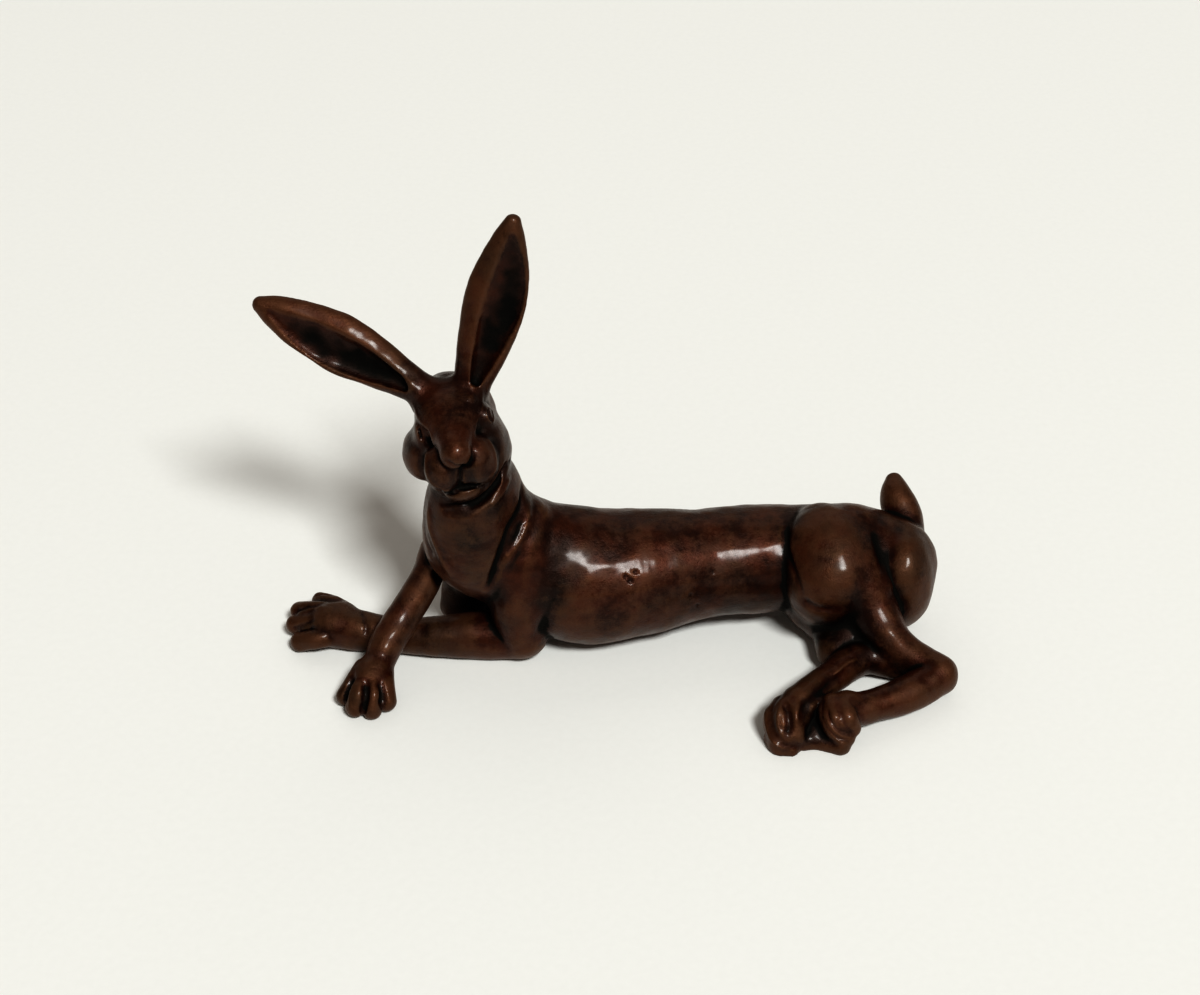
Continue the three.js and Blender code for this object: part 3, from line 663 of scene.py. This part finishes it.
# Lines of the carving, each with its picture points, its width and its height in millimetres.
# Left and right are the hare's own.
carving = {
    # face
    "groove down the lip": ([(461, 467), (460, 476), (460, 487)], 0.35, -0.45),
    "mouth, right side": ([(436, 487), (446, 493), (457, 493)], 0.35, -0.35),
    "mouth, left side": ([(461, 487), (470, 486), (482, 484)], 0.35, -0.4),
    "under the nose": ([(447, 460), (456, 466), (468, 464), (474, 456)], 0.35, -0.3),
    "rim of the right lip": ([(428, 448), (426, 464), (430, 480), (440, 489), (452, 490)], 0.4, 0.22),
    "rim of the left lip": ([(486, 438), (493, 452), (494, 468), (488, 478)], 0.4, 0.2),
    "beside the right lip": ([(423, 452), (421, 468), (427, 484)], 0.5, -0.2),
    "beside the left lip": ([(491, 436), (499, 452), (499, 470), (491, 484)], 0.5, -0.22),
    "jaw": ([(510, 462), (504, 474), (492, 489), (479, 501), (463, 506), (444, 504)], 0.5, -0.75),
    "left eyelid": (almond(490.3, 415, 6.5, 15, -1.5), 0.16, 0.13),
    "left eye": ([(489, 409), (490.3, 415), (492, 421)], 0.3, -0.36),
    "right eyelid": (almond(420, 434, 4.5, 16, -2.5), 0.16, 0.13),
    "right eye": ([(418, 428), (420, 434), (422, 440)], 0.26, -0.34),
    "right edge of the brow": ([(413, 404), (419, 419), (430, 433), (435, 445), (437, 455)], 0.35, 0.16),
    "hollow before the right eye": ([(425, 430), (430, 438), (432, 446)], 0.6, -0.3),
    "left edge of the brow": ([(482, 386), (482, 408), (477, 421), (474, 436), (472, 450)], 0.35, 0.14),
    "root of the right ear": ([(409, 384), (414, 390), (419, 398)], 0.9, 0.28),
    "root of the left ear": ([(474, 385), (471, 393), (469, 402)], 0.8, 0.26),
    # neck and breast
    "neck ridge": ([(509, 478), (501, 494), (489, 508)], 0.45, 0.3),
    "second neck ridge": ([(501, 481), (490, 494), (481, 503)], 0.35, 0.2),
    "neck crease": ([(521, 487), (520, 506), (508, 530), (498, 560), (490, 584)], 0.7, -0.25),
    "right side of the neck": ([(429, 505), (431, 530), (440, 555), (450, 575)], 0.45, 0.3),
    "shadow beside it": ([(424, 512), (425, 535), (433, 558)], 0.6, -0.25),
    "shoulder ridge": ([(529, 506), (524, 530), (514, 548), (502, 564)], 0.7, 0.5),
    "behind the upper arm": ([(556, 596), (548, 614), (544, 632)], 0.9, -0.3),
    # paws
    "beside the first toe": ([(352, 677), (349, 690), (346, 703)], 0.45, -0.35),
    "rim of the second toe": ([(355, 681), (350, 696), (350, 709)], 0.25, 0.16),
    "middle of the right paw": ([(366, 683), (366, 698), (363, 714)], 0.5, -0.55),
    "beside the last toe": ([(379, 681), (382, 692), (381, 705)], 0.5, -0.45),
    "rim of the last toe": ([(384, 680), (386, 690), (389, 700)], 0.28, 0.18),
    "below the far toe": ([(311, 596), (322, 593.5), (333, 594.5)], 0.28, -0.25),
    "rim of the far toe": ([(312, 598.5), (323, 596.5), (336, 598)], 0.22, 0.14),
    "above the third toe": ([(295, 611), (306, 607), (319, 604.5)], 0.4, -0.35),
    "rim of the third toe": ([(297, 614), (309, 610.5), (322, 608), (332, 608.5)], 0.24, 0.16),
    "below the third toe": ([(293, 629), (303, 625), (313, 620)], 0.38, -0.3),
    "rim of the near toe": ([(295, 634), (305, 629), (316, 623)], 0.24, 0.12),
    "left wrist": ([(362, 613), (366, 624), (366, 636)], 0.4, -0.3),
    # hind feet
    "outer rim of the right foot": (
        [(770, 700), (766, 714), (766, 726), (770, 739), (779, 747), (791, 749)], 0.25, 0.2),
    "first toe of the right foot": ([(781, 704), (777.5, 716), (777.5, 727), (782, 736)], 0.26, 0.22),
    "groove of the right foot": ([(784, 702), (788, 712), (789.5, 724), (788, 736)], 0.45, -0.5),
    "second toe of the right foot": ([(799, 697), (797, 710), (797, 724)], 0.35, 0.18),
    "between the feet": ([(801, 722), (805, 708), (817, 694), (832, 683), (846, 677)], 0.9, -0.45),
    "rim between the feet": ([(812, 709), (823, 695), (838, 686)], 0.25, 0.22),
    "outer rim of the left foot": ([(821, 706), (823, 720), (830, 733), (838, 741), (848, 744)], 0.25, 0.22),
    "outside the left foot": ([(816, 712), (818, 725), (825, 738), (836, 746)], 0.45, -0.4),
    "first groove of the left foot": ([(827, 709), (829, 719), (837, 730), (846, 734)], 0.36, -0.4),
    "second toe of the left foot": ([(824, 714), (829, 725), (837, 734), (845, 738)], 0.2, 0.14),
    "second groove of the left foot": ([(836, 719), (842, 729), (852, 734)], 0.3, -0.25),
    "ridge of the right shank": ([(836, 674), (846, 664), (857, 659)], 0.3, 0.3),
    # haunch
    "front of the thigh": ([(786, 524), (788, 550), (794, 572), (801, 592)], 0.5, -0.3),
    "behind the thigh": ([(874, 524), (880, 560), (886, 585), (896, 608)], 0.9, -0.25),
    "under the thigh": ([(803, 600), (816, 609), (836, 611)], 0.7, -0.4),
}

# Casting pits on the flank: picture point, radius and depth in millimetres
pits = [
    (626, 577, 0.3, 0.3), (630, 581, 0.32, 0.32), (635.5, 572, 0.24, 0.28), (713.5, 572, 0.24, 0.26),
    (698, 606, 0.22, 0.2), (691, 595, 0.22, 0.2), (634, 607, 0.22, 0.2)]

# The skin's unevenness: wavelength and height in millimetres, and the seed of its directions
ripples = [(9, 0.07, 3), (2.6, 0.02, 5)]


def carve(skin):
    for spots, wide, high in carving.values():
        skin.stroke(spots, wide, high)
    skin.apply()
    for wavelength, height, seed in ripples:
        skin.ripple(wavelength, height, seed)
    for u, v, radius, deep in pits:
        skin.pit(u, v, radius, deep)
    skin.apply()


# The piece

def build_figure():
    trunk()
    head()
    ear([-27.4, 6.5, 43.9], [-0.884, 0.227, 0.41], -1, -0.4, 0.97)
    ear([-19.8, 6.5, 44.2], [0.256, 0.226, 0.94], 1, 0.3, 1)
    breast()
    left_foreleg()
    elbow_web()
    right_foreleg()
    hips()
    left_hind_leg()
    right_hind_leg()
    webs()
    tail()
    creases()
    cut(Ground(), 0)
    values, low = sample_grid()
    fill_pinches(values)
    points, faces = wrap(values, low)
    points, faces = settle(points), as_triangles(faces)
    points, faces = halve_edges(points, faces, round_face(points))
    near = round_face(points)
    points[near] = settle(points[near])
    middle = (points.min(0) + points.max(0)) / 2
    cad_middle = (cad_low + cad_high) / 2
    points -= [middle[0] - cad_middle[0], middle[1] - cad_middle[1], points[:, 2].min()]
    skin = Skin(points, faces)
    carve(skin)
    skin.points[:, 2] = np.maximum(skin.points[:, 2], 0)
    return skin


def mesh_object(name, points, faces):
    """A smooth-shaded object in metres from points in millimetres."""
    mesh = bpy.data.meshes.new(name)
    mesh.from_pydata((points / per_metre).tolist(), [], faces.tolist())
    mesh.polygons.foreach_set("use_smooth", [True] * len(mesh.polygons))
    thing = bpy.data.objects.new(name, mesh)
    bpy.context.collection.objects.link(thing)
    return thing


def thin_out(thing):
    """Fewer triangles where the skin is plain."""
    triangles = len(thing.data.polygons)
    if triangles <= triangle_limit:
        return
    modifier = thing.modifiers.new("thin", "DECIMATE")
    modifier.ratio = triangle_limit / triangles
    bpy.context.view_layer.objects.active = thing
    with bpy.context.temp_override(object=thing):
        bpy.ops.object.modifier_apply(modifier=modifier.name)


def read_mesh(thing):
    """The points in millimetres, their normals and the edges of an object's mesh."""
    mesh = thing.data
    points = np.zeros(len(mesh.vertices) * 3)
    mesh.vertices.foreach_get("co", points)
    normals = np.zeros(len(mesh.vertices) * 3)
    mesh.vertices.foreach_get("normal", normals)
    edges = np.zeros(len(mesh.edges) * 2, int)
    mesh.edges.foreach_get("vertices", edges)
    return points.reshape(-1, 3) * per_metre, normals.reshape(-1, 3), edges.reshape(-1, 2)


def note_hollows(thing):
    """Keeps on the mesh how hollow each point lies, which the patina, its painted shade in the hollows and
    its painted sheen on the heights follow: 0.5 is flat.
    """
    marks = {"fine_hollow": (0.7, 0.1), "wide_hollow": (2.2, 0.5)}
    points, normals, edges = read_mesh(thing)
    smoothed = points.copy()
    edge = np.median(np.linalg.norm(points[edges[:, 0]] - points[edges[:, 1]], axis=1))
    done = 0
    for name, (spread, fullest) in marks.items():
        rounds = round((spread / edge) ** 2)
        for _ in range(rounds - done):
            smoothed = neighbour_mean(smoothed, edges)
        done = rounds
        lift = ((smoothed - points) * normals).sum(1) / fullest
        values = np.clip(0.5 + 0.5 * lift, 0, 1).astype(np.float32)
        thing.data.attributes.new(name, "FLOAT", "POINT").data.foreach_set("value", values)


# Materials

class Wire:
    """A node's output; arithmetic on it adds Math nodes."""

    def __init__(self, finish, socket):
        self.finish, self.socket = finish, socket

    def math(self, operation, *values):
        return self.finish.node("ShaderNodeMath", {"operation": operation}, dict(enumerate(values)))

    def __add__(self, other):
        return self.math("ADD", self, other)

    def __radd__(self, other):
        return self.math("ADD", other, self)

    def __sub__(self, other):
        return self.math("SUBTRACT", self, other)

    def __rsub__(self, other):
        return self.math("SUBTRACT", other, self)

    def __mul__(self, other):
        return self.math("MULTIPLY", self, other)

    def __rmul__(self, other):
        return self.math("MULTIPLY", other, self)


class Finish:
    """A material, with one method that adds any node to it."""

    def __init__(self, name):
        self.material = bpy.data.materials.new(name)
        self.material.use_nodes = True
        self.tree = self.material.node_tree
        self.shader = self.tree.nodes["Principled BSDF"]

    def node(self, kind, settings, inputs, output=0):
        made = self.tree.nodes.new(kind)
        for name, value in settings.items():
            setattr(made, name, value)
        for name, value in inputs.items():
            self.feed(made.inputs[name], value)
        return Wire(self, made.outputs[output])

    def feed(self, socket, value):
        if isinstance(value, Wire):
            self.tree.links.new(value.socket, socket)
        else:
            socket.default_value = value

    def mix(self, factor, first, second):
        first, second = (colour if isinstance(colour, Wire) else (*colour, 1) for colour in (first, second))
        return self.node("ShaderNodeMix", {"data_type": "RGBA"}, {0: factor, 6: first, 7: second}, 2)

    def attribute(self, name):
        return self.node("ShaderNodeAttribute", {"attribute_name": name}, {}, "Fac")

    def noise(self, place, scale, detail, roughness):
        return self.node("ShaderNodeTexNoise", {}, {
            "Vector": place, "Scale": scale, "Detail": detail, "Roughness": roughness}, "Fac")

    def strokes(self, place, scale, turn):
        """Noise drawn out into brush marks."""
        drawn = self.node("ShaderNodeMapping", {}, {"Vector": place, "Scale": scale, "Rotation": turn})
        return self.noise(drawn, 2.1, 4, 0.75)

    def steepen(self, value, low, high):
        """Nought below low, one above high, smooth between."""
        return self.node("ShaderNodeMapRange", {"interpolation_type": "SMOOTHSTEP"}, {
            "Value": value, "From Min": low, "From Max": high}, "Result")

    def set(self, **sockets):
        """Feeds the shader's own sockets, named with underscores for spaces."""
        for name, value in sockets.items():
            self.feed(self.shader.inputs[name.replace("_", " ")], value)


# The patina's colours; the rubbed brown also stands for painted sheen, and the green black also for painted
# shade in the hollows
deep_brown = (0.015, 0.0033, 0.0012)
red_brown = (0.058, 0.0125, 0.0032)
worn_brown = (0.17, 0.09, 0.045)
rubbed_and_sheen_brown = (0.09, 0.038, 0.016)
green_black = (0.0012, 0.0012, 0.0007)


def bronze():
    """Cast bronze under a waxed brown patina: lighter on the heights from rubbing and painted sheen, and
    near black in the hollows from patina and painted shade.
    """
    finish = Finish("bronze")
    object_space = finish.node("ShaderNodeTexCoord", {}, {}, "Object")
    place = finish.node("ShaderNodeVectorMath", {"operation": "SCALE"}, {
        0: object_space, "Scale": per_metre})
    fine = finish.attribute("fine_hollow")
    wide = finish.attribute("wide_hollow")
    clouds = finish.noise(place, 0.16, 4, 0.6)
    mottle = finish.noise(place, 0.9, 5, 0.65)
    grain = finish.noise(place, 5.0, 4, 0.7)
    strokes = finish.strokes(place, (0.25, 1.4, 2.6), (0.3, 0.2, 0.35))
    cross_strokes = finish.strokes(place, (2.8, 1.1, 0.3), (0.2, 0.5, -0.4))

    warm = finish.steepen(clouds + 0.35 * mottle - 0.3 * wide, 0.36, 0.8)
    colour = finish.mix(warm, deep_brown, red_brown)
    stain = finish.steepen(finish.noise(place, 0.11, 3, 0.5) + 0.25 * mottle, 0.62, 0.84)
    colour = finish.mix(0.7 * stain, colour, green_black)
    patches = finish.noise(place, 0.26, 5, 0.7)
    # Lighter on broad raised surfaces: partly real rubbing of the patina, partly painted sheen where broad
    # light would reflect.
    rubbed_and_sheen = finish.steepen(patches + 0.4 * mottle + 0.3 * grain - 0.5 * wide, 0.6, 0.86)
    colour = finish.mix(0.3 * rubbed_and_sheen, colour, rubbed_and_sheen_brown)
    edge = finish.steepen(1.0 - fine + 0.35 * grain, 0.78, 1.1)
    wear = edge * (0.3 + 0.8 * cross_strokes)
    colour = finish.mix(0.3 * wear, colour, worn_brown)
    # Near black in the hollows: dark patina there, together with painted shade where the hollows would lie
    # in shadow.
    hollow_patina_and_shade = finish.steepen(wide + 0.7 * fine + 0.2 * mottle, 1.15, 1.55)
    colour = finish.mix(hollow_patina_and_shade, colour, green_black)

    roughness = 0.19 + 0.2 * strokes + 0.2 * mottle + 0.12 * rubbed_and_sheen + 0.3 * hollow_patina_and_shade
    pores = finish.node("ShaderNodeTexVoronoi", {"feature": "F1"}, {
        "Vector": place, "Scale": 1.15}, "Distance")
    pores = 1.0 - finish.steepen(pores + 0.5 * mottle, 0.3, 0.36)
    bump = finish.node("ShaderNodeBump", {}, {
        "Strength": 0.6, "Distance": 0.00007,
        "Height": 0.6 * strokes + 0.6 * cross_strokes + 0.9 * grain + 2.4 * mottle - 1.2 * pores}, "Normal")
    finish.set(Base_Color=colour, Metallic=0.5 + 0.3 * wear - 0.2 * rubbed_and_sheen, Roughness=roughness, Normal=bump,
               Specular_IOR_Level=0.3, Specular_Tint=(1.0, 0.93, 0.86, 1),
               Coat_Weight=0.5 * mottle * (1.0 - hollow_patina_and_shade), Coat_Roughness=0.16, Coat_IOR=1.4)
    return finish.material


def pale_floor():
    finish = Finish("pale floor")
    object_space = finish.node("ShaderNodeTexCoord", {}, {}, "Object")
    fibre = finish.noise(object_space, 900.0, 4, 0.6)
    shade = finish.mix(fibre, (0.80, 0.81, 0.79), (0.84, 0.85, 0.83))
    bump = finish.node("ShaderNodeBump", {}, {
        "Strength": 0.15, "Distance": 0.0001, "Height": fibre}, "Normal")
    finish.set(Base_Color=shade, Roughness=0.85, Normal=bump)
    return finish.material


# Stage, with its lamps in metres and watts

floor_width = 3000.0


def make_floor():
    half = floor_width / 2
    points = np.array([[-half, -half, 0], [half, -half, 0], [half, half, 0], [-half, half, 0]])
    thing = mesh_object("floor", points, np.array([[0, 1, 2, 3]]))
    thing.data.materials.append(pale_floor())


def make_lamp(name, place, aim_at, size, power, colour):
    data = bpy.data.lights.new(name, "AREA")
    data.shape = "RECTANGLE"
    data.size, data.size_y = size
    data.energy = power
    data.color = colour
    lamp = bpy.data.objects.new(name, data)
    lamp.location = place
    lamp.rotation_euler = (Vector(aim_at) - Vector(place)).to_track_quat("-Z", "Y").to_euler()
    bpy.context.collection.objects.link(lamp)


def light_stage():
    """A soft main light from the front right, a broad one from behind and a dim, warm surround."""
    make_lamp("main light", (1.7, -3.36, 4.66), (0, 0, 0.01), (1.4, 1.1), 258, (0.99, 1, 0.98))
    make_lamp("back light", (-0.3, 3.0, 2.85), (0, 0, 0), (5.4, 3.0), 20, (1, 0.95, 0.9))
    world = bpy.data.worlds.new("surround")
    world.use_nodes = True
    surround = world.node_tree.nodes["Background"].inputs
    surround["Color"].default_value = (1, 0.9, 0.8, 1)
    surround["Strength"].default_value = 0.17
    bpy.context.scene.world = world
    bpy.context.scene.view_settings.view_transform = "Standard"
    bpy.context.scene.view_settings.look = "High Contrast"


# Put together

make_camera()
figure = build_figure()
hare = mesh_object("hare_casting", figure.points, figure.faces)
thin_out(hare)
note_hollows(hare)
hare.data.materials.append(bronze())
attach(hare, "root")
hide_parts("hare")
make_floor()
light_stage()
